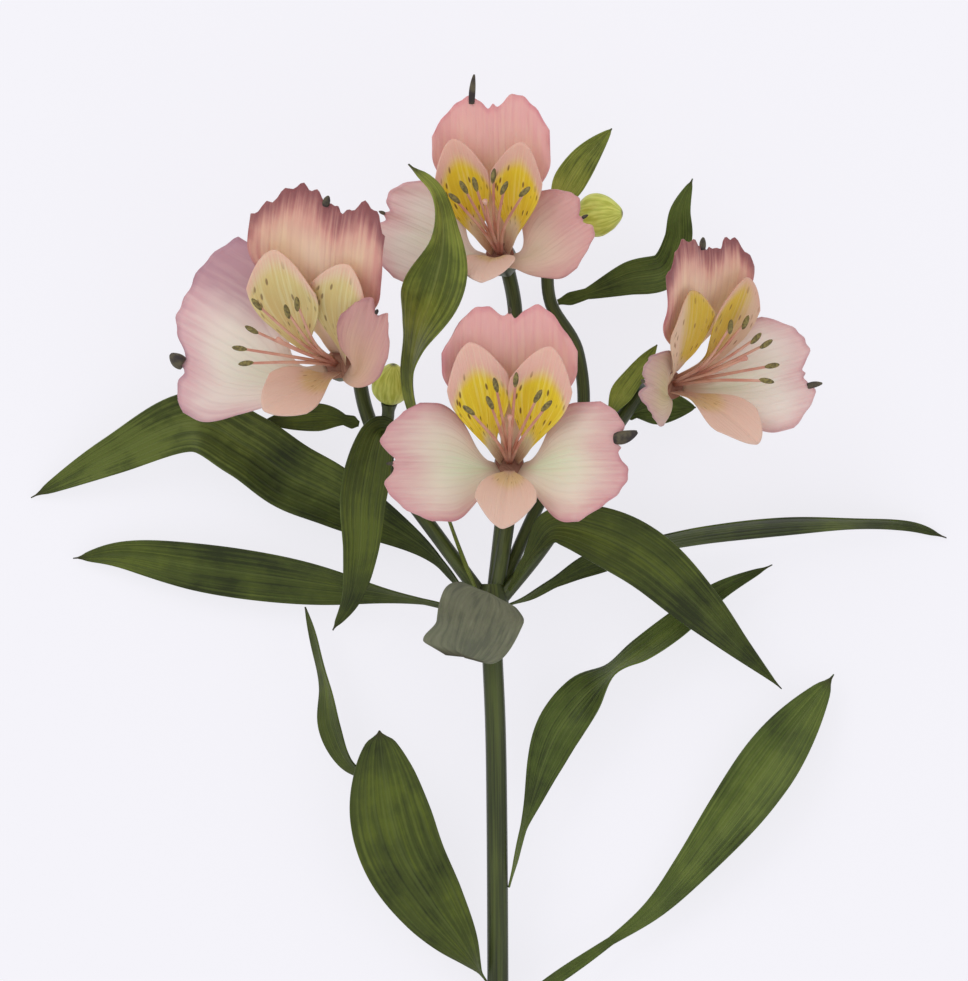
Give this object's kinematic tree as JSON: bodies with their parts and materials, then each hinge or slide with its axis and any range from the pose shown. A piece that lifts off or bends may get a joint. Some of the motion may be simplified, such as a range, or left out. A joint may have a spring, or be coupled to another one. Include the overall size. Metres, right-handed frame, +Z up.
{
  "type": "alstroemeria stem",
  "caption": "Single cut alstroemeria stem with open pink flowers, buds and lance-shaped leaves, laid down to rest on a table.",
  "frame": {"origin": "centre of the flat spot under the stalk near its cut end", "axes": "+Y along the stalk from the cut end to the flowers, +X to the right seen from above, +Z up from the surface it lies on"},
  "size_m": [0.2161, 0.4026, 0.0683],
  "materials": {
    "stem": "satin",
    "leaf": "satin",
    "bud": "satin",
    "outer_petal": "matte",
    "inner_petal": "matte",
    "stamen": "matte"
  },
  "bodies": {
    "root": {"stem": "stem", "leaf_left_upper": "leaf", "leaf_left_lower": "leaf", "leaf_hanging": "leaf", "leaf_stem_left": "leaf", "leaf_stem_right": "leaf", "leaf_right_drooping": "leaf", "leaf_right_horizontal": "leaf", "leaf_lower_right": "leaf", "leaf_upper_front": "leaf", "leaf_upper_right": "leaf", "leaf_short": "leaf", "bract_top": "leaf", "bract_right": "leaf", "bract_right_upper": "leaf", "bract_left": "leaf", "bud_right": "bud", "bud_left": "bud", "front_outer_top": "outer_petal", "front_outer_left": "outer_petal", "front_outer_right": "outer_petal", "front_inner_left": "inner_petal", "front_inner_right": "inner_petal", "front_inner_low": "inner_petal", "front_stamens": "stamen", "top_outer_top": "outer_petal", "top_outer_left": "outer_petal", "top_outer_right": "outer_petal", "top_inner_left": "inner_petal", "top_inner_right": "inner_petal", "top_inner_low": "inner_petal", "top_stamens": "stamen", "left_outer_top": "outer_petal", "left_outer_left": "outer_petal", "left_outer_right": "outer_petal", "left_inner_left": "inner_petal", "left_inner_right": "inner_petal", "left_inner_low": "inner_petal", "left_stamens": "stamen", "right_outer_top": "outer_petal", "right_outer_left": "outer_petal", "right_outer_right": "outer_petal", "right_inner_left": "inner_petal", "right_inner_right": "inner_petal", "right_inner_low": "inner_petal", "right_stamens": "stamen"}
  },
  "joints": []
}
